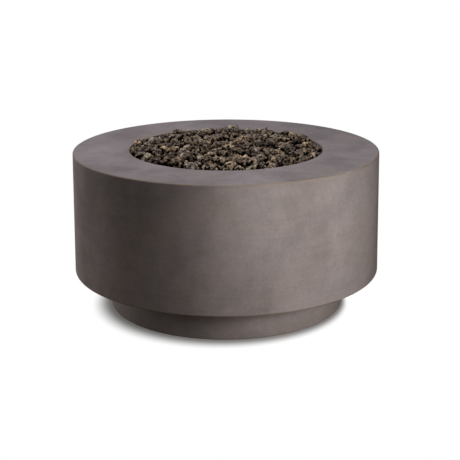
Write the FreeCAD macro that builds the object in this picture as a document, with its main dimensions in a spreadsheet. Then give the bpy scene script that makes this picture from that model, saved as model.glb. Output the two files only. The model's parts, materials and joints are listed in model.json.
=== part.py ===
"""Gas fire bowl: a wide concrete drum on a recessed concrete plinth, filled with lava rock.

The drum is a hollow casting with a ledge around its fire opening. A sheet pan on the ledge carries a
double-ring burner under the stones. Gas comes in at a key valve on the rear wall and runs through a bent
tube, a jet and an air mixer to the burner.

Frame: origin on the floor under the centre of the drum, +Z up, -Y to the front, the key valve at +Y.
"""
import FreeCAD, Part
import collections
import itertools
import math
import os
import random
import re

import Sketcher
from FreeCAD import Vector

doc = FreeCAD.newDocument("fire_bowl")
sheet = doc.addObject("Spreadsheet::Sheet", "dims")

# Driving dimensions: millimetres, degrees and counts
DIMENSIONS = {
    # drum casting
    "bowl_diameter": 914,
    "bowl_height": 364,
    "bowl_draft": 1,
    "wall_thickness": 22,
    "deck_thickness": 25,
    "soffit_thickness": 25,
    "bowl_arris": 4,
    "core_radius": 12,
    "fire_opening": 578,
    "opening_arris": 3,
    "collar_thickness": 22,
    "ledge_drop": 62,
    "ledge_width": 26,
    "ledge_thickness": 22,
    "access_opening": 584,
    # plinth casting
    "plinth_diameter": 713,
    "plinth_height": 107,
    "plinth_wall": 30,
    "plinth_flange": 24,
    "plinth_arris": 3,
    "vent_length": 84,
    "vent_height": 36,
    "vent_rise": 40,
    "vent_angle": 65,
    # joint between drum and plinth
    "pad_thickness": 3,
    "pad_diameter": 28,
    "bolt_count": 6,
    "bolt_diameter": 8,
    "bolt_clearance": 1,
    "bolt_engagement": 14,
    "bolt_head_width": 13,
    "bolt_head_height": 5.3,
    "washer_diameter": 17,
    "washer_thickness": 1.6,
    "insert_diameter": 13,
    "insert_length": 18,
    # burner pan
    "sheet_thickness": 1.5,
    "bend_radius": 3,
    "pan_depth": 36,
    "pan_rim_clearance": 4,
    "pan_wall_clearance": 4,
    "drain_count": 8,
    "drain_diameter": 10,
    "drain_circle": 460,
    # burner
    "burner_tube": 19,
    "burner_wall": 1.5,
    "outer_ring": 380,
    "inner_ring": 200,
    "burner_lift": 10,
    "spoke_tube": 15,
    "spoke_count": 4,
    "port_diameter": 3,
    "outer_ports": 36,
    "inner_ports": 18,
    "hub_diameter": 50,
    "hub_height": 34,
    "hub_cap": 6,
    "hub_chamfer": 2,
    "standoff_diameter": 8,
    # pipe through the pan
    "pipe_diameter": 21.3,
    "pipe_bore": 15.8,
    "pipe_clearance": 1.2,
    "thread_engagement": 13,
    "gasket_thickness": 1.5,
    "lock_washer_diameter": 40,
    "lock_washer_thickness": 2,
    "locknut_width": 32,
    "locknut_thickness": 8,
    "nipple_gap": 6,
    # air mixer, shutter and jet
    "mixer_diameter": 34,
    "mixer_wall": 4,
    "mixer_length": 66,
    "mixer_floor": 10,
    "mixer_shoulder": 3,
    "window_width": 22,
    "window_height": 20,
    "window_rise": 32,
    "shutter_clearance": 0.3,
    "shutter_wall": 1.5,
    "shutter_height": 32,
    "thumb_screw": 4,
    "thumb_head": 9,
    "thumb_head_length": 6,
    "jet_thread": 12,
    "jet_engagement": 9,
    "jet_hex": 16,
    "jet_hex_height": 6,
    "jet_nose": 7,
    "jet_bore": 5,
    "jet_hole": 1.8,
    # gas line
    "elbow_diameter": 26,
    "elbow_drop": 18,
    "elbow_reach": 36,
    "flare_thread": 16,
    "line_bore": 8,
    "tube_diameter": 12.7,
    "tube_wall": 1.2,
    "tube_bend": 60,
    "tube_nut_width": 22,
    "tube_nut_length": 20,
    "tube_nut_engagement": 11,
    "tube_nut_clearance": 0.2,
    # key valve
    "valve_drop": 32,
    "valve_setback": 70,
    "barrel_diameter": 36,
    "barrel_front": 20,
    "barrel_back": 30,
    "neck_diameter": 22,
    "neck_length": 14,
    "plug_diameter": 16,
    "plug_clearance": 0.05,
    "plug_front": 18,
    "plug_back": 13,
    "plug_port": 8,
    "stem_diameter": 10,
    "stem_reach": 42,
    "stem_square": 7,
    "stem_square_length": 12,
    "seal_count": 2,
    "seal_gap": 0.2,
    "packing_width": 18,
    "packing_head": 6,
    "packing_clearance": 0.1,
    "boss_diameter": 28,
    "boss_length": 32,
    "fitting_engagement": 10,
    "fitting_hex": 24,
    "fitting_hex_length": 8,
    "flare_length": 14,
    "inlet_length": 18,
    # wall passage and key
    "sleeve_diameter": 27,
    "sleeve_overlap": 12,
    "sleeve_stand": 4,
    "sleeve_clearance": 2,
    "sleeve_nut_width": 36,
    "sleeve_nut_thickness": 7,
    "spotface_diameter": 84,
    "spotface_depth": 3,
    "escutcheon_diameter": 78,
    "escutcheon_thickness": 8,
    "escutcheon_rim": 2.5,
    "escutcheon_boss": 34,
    "key_shaft": 12,
    "key_clearance": 0.3,
    "key_hole_clearance": 2,
    "key_stand": 8,
    "key_handle_width": 44,
    "key_handle_height": 30,
    "key_handle_thickness": 7,
    "key_loop": 8,
    # lava rock
    "bed_depth": 48,
    "bed_clearance": 1,
    "stone_small": 24,
    "stone_large": 44,
    "stone_least_stretch": 1.05,
    "stone_most_stretch": 1.3,
    "stone_corners": 14,
    "stone_lean": 0.6,
    "stone_twist": 20,
    "stone_wear": 0.03,
    "stone_gap": 0.4,
    "stone_wall_gap": 2,
    "stone_proud": 10,
    "stone_tries": 60,
    "stone_seed": 7,
}
for row, (alias, size) in enumerate(DIMENSIONS.items(), 1):
    sheet.set(f"A{row}", str(size))
    sheet.setAlias(f"A{row}", alias)
doc.recompute()

# Heights and places that several pieces share
BOWL_BASE = "(plinth_height + pad_thickness)"
DECK_TOP = f"({BOWL_BASE} + bowl_height)"
LEDGE_TOP = f"({DECK_TOP} - ledge_drop)"
PAN_UNDER = f"({LEDGE_TOP} + sheet_thickness - pan_depth)"
PAN_FLOOR = f"({PAN_UNDER} + sheet_thickness)"
PAN_RADIUS = "(fire_opening / 2 - ledge_width - pan_wall_clearance)"
HUB_BASE = f"({PAN_FLOOR} + gasket_thickness)"
RING_LIFT = "(burner_lift + burner_tube / 2)"
RING_PLANE = f"({PAN_FLOOR} + {RING_LIFT})"
PIPE_HOLE = "(pipe_diameter + pipe_clearance)"
SPOKE_BORE = "(spoke_tube - 2 * burner_wall)"
LOCKNUT_BASE = f"({PAN_UNDER} - lock_washer_thickness - locknut_thickness)"
MIXER_TOP = f"({LOCKNUT_BASE} - nipple_gap)"
MIXER_BASE = f"({MIXER_TOP} - mixer_length)"
SHUTTER_BASE = "(window_rise - shutter_height / 2)"
ELBOW_AXIS = f"({MIXER_BASE} - elbow_drop)"
VALVE_AXIS = f"({ELBOW_AXIS} - valve_drop)"
BOWL_FOOT = "(bowl_diameter / 2 + bowl_height * tan(bowl_draft))"
SPOTFACE = "(bowl_diameter / 2 - spotface_depth)"
VALVE_PLACE = f"({SPOTFACE} - valve_setback)"
NECK_END = "(barrel_front + neck_length)"
OUTLET_REACH = "(barrel_back + fitting_hex_length + flare_length)"
BOLT_RADIUS = "(access_opening / 4 + plinth_diameter / 4 - plinth_wall / 2)"
PAD_RADIUS = "(plinth_diameter / 2 - plinth_wall / 2)"

sub_parts = []


def bind(text):
    """Expression on the sheet: every word with an underscore is one of its aliases."""
    return re.sub(r"[a-z]+(?:_[a-z]+)+", r"dims.\g<0>", text)


def value(text):
    """Number that an expression on the sheet gives."""
    return float(sheet.evalExpression(bind(text)))


def new_body(label, x=None, y=None, z=None):
    """Empty sub-part whose place follows the sheet."""
    body = doc.addObject("PartDesign::Body", label)
    body.Label = label
    for axis, text in (("x", x), ("y", y), ("z", z)):
        if text:
            body.setExpression(f"Placement.Base.{axis}", bind(text))
    sub_parts.append(body)
    return body


def origin(body, role):
    """Origin plane or axis of a body."""
    return next(item for item in body.Origin.OriginFeatures if item.Role == role)


def new_sketch(body, role, lift=None):
    """Sketch on one of the body's origin planes, raised along that plane's normal."""
    sketch = body.newObject("Sketcher::SketchObject", f"{body.Name}_sketch")
    sketch.AttachmentSupport = [(origin(body, role), "")]
    sketch.MapMode = "FlatFace"
    if lift:
        sketch.setExpression("AttachmentOffset.Base.z", bind(lift))
    return sketch


def dimension(sketch, text, *constraint):
    """Dimensional constraint that follows the sheet."""
    index = sketch.addConstraint(Sketcher.Constraint(*constraint, value(text)))
    sketch.setExpression(f"Constraints[{index}]", bind(text))


def pin(sketch, geometry, point, x, y):
    """Fix a point of a sketch at x, y from the sketch's origin."""
    for kind, axis, text in (("DistanceX", -2, x), ("DistanceY", -1, y)):
        if text == "0":
            sketch.addConstraint(Sketcher.Constraint("PointOnObject", geometry, point, axis))
        else:
            dimension(sketch, text, kind, -1, 1, geometry, point)


def add_outline(sketch, corners):
    """Closed outline of straight lines through corners."""
    places = [Vector(value(x), value(y), 0) for x, y in corners]
    lines = [
        sketch.addGeometry(Part.LineSegment(start, end))
        for start, end in zip(places, places[1:] + places[:1])
    ]
    for line, following in zip(lines, lines[1:] + lines[:1]):
        sketch.addConstraint(Sketcher.Constraint("Coincident", line, 2, following, 1))
    for line, (x, y) in zip(lines, corners):
        pin(sketch, line, 1, x, y)


def add_rectangle(sketch, low, high):
    """Rectangle between two opposite corners."""
    add_outline(sketch, [low, (high[0], low[1]), high, (low[0], high[1])])


def add_hexagon(sketch, width, x="0"):
    """Hexagon across flats, centred on the sketch's x axis."""
    flat, half, corner = f"({width}) / 2", f"({width}) / sqrt(12)", f"({width}) / sqrt(3)"
    ring = [(corner, "0"), (half, flat), (f"-{half}", flat)]
    ring += [(f"-{corner}", "0"), (f"-{half}", f"-{flat}"), (half, f"-{flat}")]
    add_outline(sketch, [(f"{x} + {dx}" if x != "0" else dx, dy) for dx, dy in ring])


def add_circle(sketch, diameter, x="0", y="0"):
    """Circle of a diameter about x, y."""
    middle = Vector(value(x), value(y), 0)
    circle = sketch.addGeometry(Part.Circle(middle, Vector(0, 0, 1), value(diameter) / 2))
    pin(sketch, circle, 3, x, y)
    dimension(sketch, diameter, "Diameter", circle)


def add_slot(sketch, length, height, y="0"):
    """Slot with round ends, lying along the sketch's x axis at height y."""
    reach, radius, rise = value(length) / 2 - value(height) / 2, value(height) / 2, value(y)
    ends = [Vector(reach, rise, 0), Vector(-reach, rise, 0)]
    up, axis = Vector(0, radius, 0), Vector(0, 0, 1)
    quarter = math.pi / 2
    pieces = [
        Part.LineSegment(ends[1] - up, ends[0] - up),
        Part.ArcOfCircle(Part.Circle(ends[0], axis, radius), -quarter, quarter),
        Part.LineSegment(ends[0] + up, ends[1] + up),
        Part.ArcOfCircle(Part.Circle(ends[1], axis, radius), quarter, 3 * quarter),
    ]
    run = [sketch.addGeometry(piece) for piece in pieces]
    for piece, following in zip(run, run[1:] + run[:1]):
        sketch.addConstraint(Sketcher.Constraint("Tangent", piece, 2, following, 1))
    sketch.addConstraint(Sketcher.Constraint("Equal", run[1], run[3]))
    pin(sketch, run[1], 3, f"({length}) / 2 - ({height}) / 2", y)
    pin(sketch, run[3], 3, f"({height}) / 2 - ({length}) / 2", y)
    dimension(sketch, f"({height}) / 2", "Radius", run[1])


def add_ellipse(sketch, length, height, x):
    """Ellipse centred on the sketch's x axis, taller than it is long."""
    middle = Vector(value(x), 0, 0)
    tall, wide = value(height) / 2, value(length) / 2
    top, side = middle + Vector(0, tall, 0), middle + Vector(wide, 0, 0)
    ellipse = sketch.addGeometry(Part.Ellipse(top, side, middle))
    sketch.exposeInternalGeometry(ellipse)
    upright, across = ellipse + 1, ellipse + 2
    pin(sketch, ellipse, 3, x, "0")
    sketch.addConstraint(Sketcher.Constraint("Vertical", upright))
    for axis, text in ((upright, height), (across, length)):
        dimension(sketch, text, "Distance", axis)


def turn(body, sketch, kind="Revolution"):
    """Full turn of a sketch about its upright axis, added to or cut from the body."""
    feature = body.newObject(f"PartDesign::{kind}", f"{body.Name}_{kind.lower()}")
    feature.Profile = sketch
    feature.ReferenceAxis = (sketch, ["V_Axis"])
    feature.Angle = 360
    return feature


def extrude(body, sketch, length, kind="Pad", along_normal=True):
    """Straight pad or pocket from a sketch, along its normal or against it."""
    feature = body.newObject(f"PartDesign::{kind}", f"{body.Name}_{kind.lower()}")
    feature.Profile = sketch
    feature.Reversed = along_normal == (kind == "Pocket")
    feature.setExpression("Length", bind(length))
    return feature


def ring_of(body, features, count, angle=None, backwards=False):
    """Repeat features about the body's upright axis."""
    pattern = body.newObject("PartDesign::PolarPattern", f"{body.Name}_pattern")
    pattern.Originals = features
    pattern.Axis = (origin(body, "Z_Axis"), [""])
    pattern.Angle = 360
    pattern.Reversed = backwards
    if angle:
        pattern.setExpression("Angle", bind(angle))
    pattern.setExpression("Occurrences", bind(count))
    body.Tip = pattern
    return pattern


def round_rims(body, radius, rims, kind="Fillet"):
    """Round or chamfer the circular edges at each rim, a radius and a height."""
    doc.recompute()
    base = body.Tip
    wanted = [(value(reach), value(height)) for reach, height in rims]
    names = []
    for number, edge in enumerate(base.Shape.Edges, 1):
        if isinstance(edge.Curve, Part.Circle):
            rim = edge.Curve.Radius, edge.Curve.Center.z
            if any(math.dist(rim, target) < 1e-4 for target in wanted):
                names.append(f"Edge{number}")
    feature = body.newObject(f"PartDesign::{kind}", f"{body.Name}_{kind.lower()}")
    feature.Base = (base, names)
    feature.setExpression("Radius" if kind == "Fillet" else "Size", bind(radius))
    return feature


def turned(label, corners, **place):
    """Sub-part turned about the upright axis from an outline of radius and height."""
    body = new_body(label, **place)
    sketch = new_sketch(body, "XZ_Plane")
    add_outline(sketch, corners)
    turn(body, sketch)
    return body


def turned_on_stem(label, corners):
    """Sub-part turned about the key valve's stem, from an outline of radius and distance along it."""
    body = new_body(label, y=VALVE_PLACE, z=VALVE_AXIS)
    sketch = new_sketch(body, "XY_Plane")
    add_outline(sketch, corners)
    turn(body, sketch)
    return body


def washer(label, outer, inner, thickness, x="0", **place):
    """Flat ring on the upright axis, or beside it."""
    body = new_body(label, **place)
    sketch = new_sketch(body, "XY_Plane")
    add_circle(sketch, outer, x)
    if inner:
        add_circle(sketch, inner, x)
    return body, extrude(body, sketch, thickness)


def build_bowl():
    """Drum: deck, drafted wall and bottom return in one hollow casting, with a ledge for the pan."""
    rim, ledge = "fire_opening / 2", "bowl_height - ledge_drop"
    inside, collar = "bowl_diameter / 2 - wall_thickness", "fire_opening / 2 + collar_thickness"
    body = turned(
        "concrete_bowl",
        [
            (BOWL_FOOT, "0"),
            ("bowl_diameter / 2", "bowl_height"),
            (rim, "bowl_height"),
            (rim, ledge),
            (f"{rim} - ledge_width", ledge),
            (f"{rim} - ledge_width", f"{ledge} - ledge_thickness"),
            (collar, f"{ledge} - ledge_thickness"),
            (collar, "bowl_height - deck_thickness"),
            (inside, "bowl_height - deck_thickness"),
            (inside, "soffit_thickness"),
            ("access_opening / 2", "soffit_thickness"),
            ("access_opening / 2", "0"),
        ],
        z=BOWL_BASE,
    )
    outer = [(BOWL_FOOT, "0"), ("bowl_diameter / 2", "bowl_height")]
    round_rims(body, "bowl_arris", outer)
    round_rims(body, "opening_arris", [(rim, "bowl_height")])
    under_deck = "bowl_height - deck_thickness"
    cores = [(inside, under_deck), (inside, "soffit_thickness"), (collar, under_deck)]
    round_rims(body, "core_radius", cores)
    valve_rise = f"{VALVE_AXIS} - {BOWL_BASE}"
    seat = new_sketch(body, "XZ_Plane", f"-{SPOTFACE}")
    add_circle(seat, "spotface_diameter", y=valve_rise)
    extrude(body, seat, f"{BOWL_FOOT} - {SPOTFACE}", "Pocket", along_normal=False)
    passage = new_sketch(body, "XZ_Plane", f"-{SPOTFACE}")
    add_circle(passage, "sleeve_diameter + sleeve_clearance", y=valve_rise)
    extrude(body, passage, "wall_thickness", "Pocket")
    socket = new_sketch(body, "XY_Plane")
    add_circle(socket, "insert_diameter", BOLT_RADIUS)
    ring_of(body, [extrude(body, socket, "insert_length", "Pocket")], "bolt_count")


def build_plinth():
    """Plinth: a ring with an inward flange at its top and air vents in the rear half of its wall."""
    inside, shelf = "plinth_diameter / 2 - plinth_wall", "plinth_height - plinth_flange"
    body = turned(
        "concrete_plinth",
        [
            ("plinth_diameter / 2", "0"),
            ("plinth_diameter / 2", "plinth_height"),
            ("access_opening / 2", "plinth_height"),
            ("access_opening / 2", shelf),
            (inside, shelf),
            (inside, "0"),
        ],
    )
    edges = [("plinth_diameter / 2", "0"), ("plinth_diameter / 2", "plinth_height")]
    round_rims(body, "plinth_arris", edges)
    slot = new_sketch(body, "XZ_Plane", "-plinth_diameter / 2")
    add_slot(slot, "vent_length", "vent_height", "vent_rise")
    vent = extrude(body, slot, "2 * plinth_wall", "Pocket")
    ring_of(body, [vent], "2", "vent_angle")
    ring_of(body, [vent], "2", "vent_angle", backwards=True)
    hole = new_sketch(body, "XY_Plane", "plinth_height")
    add_circle(hole, "bolt_diameter + bolt_clearance", BOLT_RADIUS)
    clearance = extrude(body, hole, "plinth_flange", "Pocket", along_normal=False)
    ring_of(body, [clearance], "bolt_count")


def build_plinth_joint():
    """Rubber pads under the drum, and the bolts, washers and cast-in inserts that hold it down."""
    pads = new_body("setting_pads", z="plinth_height")
    sketch = new_sketch(pads, "XY_Plane")
    half_step = "180 / bolt_count"
    across, beside = f"{PAD_RADIUS} * cos({half_step})", f"{PAD_RADIUS} * sin({half_step})"
    add_circle(sketch, "pad_diameter", across, beside)
    ring_of(pads, [extrude(pads, sketch, "pad_thickness")], "bolt_count")
    ring = {"x": BOLT_RADIUS, "z": BOWL_BASE}
    inserts, sleeve = washer("wall_inserts", "insert_diameter", "bolt_diameter", "insert_length", **ring)
    ring_of(inserts, [sleeve], "bolt_count")
    flange_base = "plinth_height - plinth_flange"
    under = {"x": BOLT_RADIUS, "z": f"{flange_base} - washer_thickness"}
    hole = "bolt_diameter + bolt_clearance"
    washers, flat = washer("plinth_washers", "washer_diameter", hole, "washer_thickness", **under)
    ring_of(washers, [flat], "bolt_count")
    bolts = new_body("plinth_bolts", z=f"{flange_base} - washer_thickness")
    circle = new_sketch(bolts, "XY_Plane")
    add_circle(circle, "bolt_diameter", BOLT_RADIUS)
    grip = "washer_thickness + plinth_flange + pad_thickness + bolt_engagement"
    shank = extrude(bolts, circle, grip)
    hexagon = new_sketch(bolts, "XY_Plane")
    add_hexagon(hexagon, "bolt_head_width", BOLT_RADIUS)
    head = extrude(bolts, hexagon, "bolt_head_height", along_normal=False)
    ring_of(bolts, [shank, head], "bolt_count")


def build_pan():
    """Sheet pan that hangs in the ledge by its rim, with drain holes and a hole for the burner's pipe."""
    rim, wall = "fire_opening / 2 - pan_rim_clearance", PAN_RADIUS
    lip, lining = "pan_depth - sheet_thickness", f"{PAN_RADIUS} - sheet_thickness"
    body = turned(
        "burner_pan",
        [
            (f"{PIPE_HOLE} / 2", "0"),
            (wall, "0"),
            (wall, lip),
            (rim, lip),
            (rim, "pan_depth"),
            (lining, "pan_depth"),
            (lining, "sheet_thickness"),
            (f"{PIPE_HOLE} / 2", "sheet_thickness"),
        ],
        z=PAN_UNDER,
    )
    round_rims(body, "bend_radius + sheet_thickness", [(wall, "0"), (lining, "pan_depth")])
    round_rims(body, "bend_radius", [(lining, "sheet_thickness"), (wall, lip)])
    hole = new_sketch(body, "XY_Plane")
    add_circle(hole, "drain_diameter", "drain_circle / 2")
    ring_of(body, [extrude(body, hole, "2 * sheet_thickness", "Pocket")], "drain_count")


def build_burner_ring(label, ring, ports):
    """Ring of burner tube with a row of gas ports along its top."""
    body = new_body(label, z=RING_PLANE)
    section = new_sketch(body, "XZ_Plane")
    for diameter in ("burner_tube", "burner_tube - 2 * burner_wall"):
        add_circle(section, diameter, f"{ring} / 2")
    turn(body, section)
    port = new_sketch(body, "XY_Plane", "burner_tube / 2")
    add_circle(port, "port_diameter", f"{ring} / 2")
    ring_of(body, [extrude(body, port, "burner_tube / 2", "Pocket", along_normal=False)], ports)


def cut_ring(body, ring, tube, lift="0"):
    """Cut a ring of tube out of a body, so that the piece is coped to it."""
    section = new_sketch(body, "XZ_Plane")
    add_circle(section, tube, f"{ring} / 2", lift)
    turn(body, section, "Groove")


def build_burner():
    """Double-ring burner: rings, spokes, hub and the posts that hold the rings off the pan."""
    build_burner_ring("burner_outer_ring", "outer_ring", "outer_ports")
    build_burner_ring("burner_inner_ring", "inner_ring", "inner_ports")

    spokes = new_body("burner_spokes", z=RING_PLANE)
    section = new_sketch(spokes, "YZ_Plane")
    add_circle(section, "spoke_tube")
    add_circle(section, SPOKE_BORE)
    ring_of(spokes, [extrude(spokes, section, "outer_ring / 2")], "spoke_count")
    middle = new_sketch(spokes, "XZ_Plane")
    add_rectangle(middle, ("0", "-spoke_tube"), ("hub_diameter / 2", "spoke_tube"))
    turn(spokes, middle, "Groove")
    cut_ring(spokes, "inner_ring", "burner_tube")
    cut_ring(spokes, "outer_ring", "burner_tube")

    chamber = "pipe_bore / 2"
    hub = turned(
        "burner_hub",
        [
            ("pipe_diameter / 2", "0"),
            ("hub_diameter / 2", "0"),
            ("hub_diameter / 2", "hub_height"),
            ("0", "hub_height"),
            ("0", "hub_height - hub_cap"),
            (chamber, "hub_height - hub_cap"),
            (chamber, "thread_engagement"),
            ("pipe_diameter / 2", "thread_engagement"),
        ],
        z=HUB_BASE,
    )
    round_rims(hub, "hub_chamfer", [("hub_diameter / 2", "hub_height")], "Chamfer")
    way = new_sketch(hub, "YZ_Plane")
    add_circle(way, SPOKE_BORE, y=f"{RING_LIFT} - gasket_thickness")
    ring_of(hub, [extrude(hub, way, "hub_diameter / 2", "Pocket")], "spoke_count")

    posts = new_body("burner_standoffs", z=PAN_FLOOR)
    foot = new_sketch(posts, "XY_Plane")
    half_step = "180 / spoke_count"
    add_circle(
        foot,
        "standoff_diameter",
        f"outer_ring / 2 * cos({half_step})",
        f"outer_ring / 2 * sin({half_step})",
    )
    ring_of(posts, [extrude(posts, foot, RING_LIFT)], "spoke_count")
    cut_ring(posts, "outer_ring", "burner_tube", RING_LIFT)


def build_pan_fittings():
    """Gasket, washer, nut and nipple that clamp the hub to the pan and lead gas through it."""
    washer("hub_gasket", "hub_diameter", PIPE_HOLE, "gasket_thickness", z=PAN_FLOOR)
    washer(
        "hub_washer",
        "lock_washer_diameter",
        PIPE_HOLE,
        "lock_washer_thickness",
        z=f"{PAN_UNDER} - lock_washer_thickness",
    )
    nut = new_body("hub_locknut", z=LOCKNUT_BASE)
    sketch = new_sketch(nut, "XY_Plane")
    add_hexagon(sketch, "locknut_width")
    add_circle(sketch, "pipe_diameter")
    extrude(nut, sketch, "locknut_thickness")
    foot = f"{MIXER_TOP} - thread_engagement"
    length = f"{HUB_BASE} + thread_engagement - ({foot})"
    washer("gas_nipple", "pipe_diameter", "pipe_bore", length, z=foot)


def build_mixer():
    """Air mixer with its turning shutter, the shutter's thumb screw, and the jet in its floor."""
    wall, jet = "mixer_diameter / 2", "jet_thread / 2"
    shoulder, chamber = "mixer_diameter / 2 + mixer_shoulder", "mixer_diameter / 2 - mixer_wall"
    seat, neck = f"{SHUTTER_BASE} - shutter_clearance", "mixer_length - thread_engagement"
    mixer = turned(
        "air_mixer",
        [
            (jet, "0"),
            (shoulder, "0"),
            (shoulder, seat),
            (wall, seat),
            (wall, "mixer_length"),
            ("pipe_diameter / 2", "mixer_length"),
            ("pipe_diameter / 2", neck),
            (chamber, neck),
            (chamber, "mixer_floor"),
            (jet, "mixer_floor"),
        ],
        z=MIXER_BASE,
    )
    window = new_sketch(mixer, "YZ_Plane")
    low, high = "window_rise - window_height / 2", "window_rise + window_height / 2"
    add_rectangle(window, ("-window_width / 2", low), ("window_width / 2", high))
    ring_of(mixer, [extrude(mixer, window, "mixer_diameter", "Pocket")], "2")

    lining = "mixer_diameter / 2 + shutter_clearance"
    shutter = turned(
        "air_shutter",
        [
            (lining, "0"),
            (f"{lining} + shutter_wall", "0"),
            (f"{lining} + shutter_wall", "shutter_height"),
            (lining, "shutter_height"),
        ],
        z=f"{MIXER_BASE} + {SHUTTER_BASE}",
    )
    window = new_sketch(shutter, "YZ_Plane")
    low, high = "shutter_height / 2 - window_height / 2", "shutter_height / 2 + window_height / 2"
    add_rectangle(window, ("-window_width / 2", low), ("window_width / 2", high))
    ring_of(shutter, [extrude(shutter, window, "mixer_diameter", "Pocket")], "2")
    hole = new_sketch(shutter, "XZ_Plane")
    add_circle(hole, "thumb_screw", y="shutter_height / 2")
    extrude(shutter, hole, "mixer_diameter", "Pocket")

    screw = new_body("shutter_screw", z=f"{MIXER_BASE} + window_rise")
    side = new_sketch(screw, "XY_Plane")
    head = f"{lining} + shutter_wall"
    add_outline(
        side,
        [
            ("0", f"-({lining})"),
            ("thumb_screw / 2", f"-({lining})"),
            ("thumb_screw / 2", f"-({head})"),
            ("thumb_head / 2", f"-({head})"),
            ("thumb_head / 2", f"-({head} + thumb_head_length)"),
            ("0", f"-({head} + thumb_head_length)"),
        ],
    )
    turn(screw, side)

    spud = turned(
        "gas_orifice",
        [
            ("jet_hole / 2", "jet_hex_height + jet_nose"),
            ("jet_hole / 2", "jet_hex_height"),
            ("jet_bore / 2", "jet_hex_height"),
            ("jet_bore / 2", "-mixer_floor - jet_engagement"),
            (jet, "-mixer_floor - jet_engagement"),
            (jet, "jet_hex_height"),
            ("jet_bore / 2", "jet_hex_height + jet_nose"),
        ],
        z=f"{MIXER_BASE} + mixer_floor",
    )
    hexagon = new_sketch(spud, "XY_Plane")
    add_hexagon(hexagon, "jet_hex")
    add_circle(hexagon, "jet_bore")
    extrude(spud, hexagon, "jet_hex_height")


def build_tube_nut(label, facing, **place):
    """Flare nut on a tube's end; facing is the turn about the upright axis, in degrees."""
    body = new_body(label, **place)
    body.Placement.Rotation = FreeCAD.Rotation(Vector(0, 0, 1), facing)
    hexagon = new_sketch(body, "XZ_Plane")
    add_hexagon(hexagon, "tube_nut_width")
    add_circle(hexagon, "tube_diameter + 2 * tube_nut_clearance")
    extrude(body, hexagon, "tube_nut_length", along_normal=False)
    thread = new_sketch(body, "XZ_Plane")
    add_circle(thread, "flare_thread")
    extrude(body, thread, "tube_nut_engagement", "Pocket", along_normal=False)


def build_gas_tube(span):
    """Tube from the mixer's elbow to the valve: two level runs joined by a double bend."""
    body = new_body("gas_tube", y="elbow_reach", z=ELBOW_AXIS)
    bend, drop, length = value("tube_bend"), value("valve_drop"), value(span)
    sweep = math.acos(1 - drop / (2 * bend))
    first = length / 2 - bend * math.sin(sweep)
    second = length / 2 + bend * math.sin(sweep)
    upper, lower = Vector(first, -bend, 0), Vector(second, bend - drop, 0)
    axis, quarter = Vector(0, 0, 1), math.pi / 2
    route = new_sketch(body, "YZ_Plane")
    pieces = [
        Part.LineSegment(Vector(0, 0, 0), Vector(first, 0, 0)),
        Part.ArcOfCircle(Part.Circle(upper, axis, bend), quarter - sweep, quarter),
        Part.ArcOfCircle(Part.Circle(lower, axis, bend), 3 * quarter - sweep, 3 * quarter),
        Part.LineSegment(Vector(second, -drop, 0), Vector(length, -drop, 0)),
    ]
    start, fall, rise, end = [route.addGeometry(piece) for piece in pieces]
    for joint in ((start, 2, fall, 2), (fall, 1, rise, 1), (rise, 2, end, 1)):
        route.addConstraint(Sketcher.Constraint("Tangent", *joint))
    for line in (start, end):
        route.addConstraint(Sketcher.Constraint("Horizontal", line))
    route.addConstraint(Sketcher.Constraint("Equal", fall, rise))
    pin(route, start, 1, "0", "0")
    pin(route, end, 2, span, "-valve_drop")
    dimension(route, "tube_bend", "Radius", fall)
    dimension(route, f"{span} / 2", "DistanceX", -1, 1, fall, 1)
    section = new_sketch(body, "XZ_Plane")
    add_circle(section, "tube_diameter")
    add_circle(section, "tube_diameter - 2 * tube_wall")
    doc.recompute()
    pipe = body.newObject("PartDesign::AdditivePipe", "gas_tube_pipe")
    pipe.Profile = section
    pipe.Spine = (route, [])


def build_gas_line():
    """Elbow under the mixer, the tube to the valve and the nuts on the tube's ends."""
    round_body, way = "elbow_diameter / 2", "line_bore / 2"
    elbow = turned(
        "mixer_elbow",
        [
            (way, "0"),
            (way, "elbow_drop - jet_engagement"),
            ("jet_thread / 2", "elbow_drop - jet_engagement"),
            ("jet_thread / 2", "elbow_drop"),
            (round_body, "elbow_drop"),
            (round_body, "-elbow_drop"),
            ("0", "-elbow_drop"),
            ("0", "0"),
        ],
        z=ELBOW_AXIS,
    )
    round_rims(elbow, "elbow_diameter / 6", [(round_body, "-elbow_drop")])
    spigot = new_sketch(elbow, "XZ_Plane")
    add_circle(spigot, "flare_thread")
    extrude(elbow, spigot, "elbow_reach", along_normal=False)
    bore = new_sketch(elbow, "XZ_Plane")
    add_circle(bore, "line_bore")
    extrude(elbow, bore, "elbow_reach", "Pocket", along_normal=False)
    crossing = new_sketch(elbow, "XY_Plane", "elbow_drop - jet_engagement")
    add_circle(crossing, "line_bore")
    extrude(elbow, crossing, "elbow_drop - jet_engagement", "Pocket", along_normal=False)
    span = f"({VALVE_PLACE} - {OUTLET_REACH} - elbow_reach)"
    build_gas_tube(span)
    build_tube_nut(
        "burner_tube_nut", 0, y="elbow_reach - tube_nut_engagement", z=ELBOW_AXIS
    )
    valve_end = f"{VALVE_PLACE} - {OUTLET_REACH} + tube_nut_engagement"
    build_tube_nut("valve_tube_nut", 180, y=valve_end, z=VALVE_AXIS)


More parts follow.
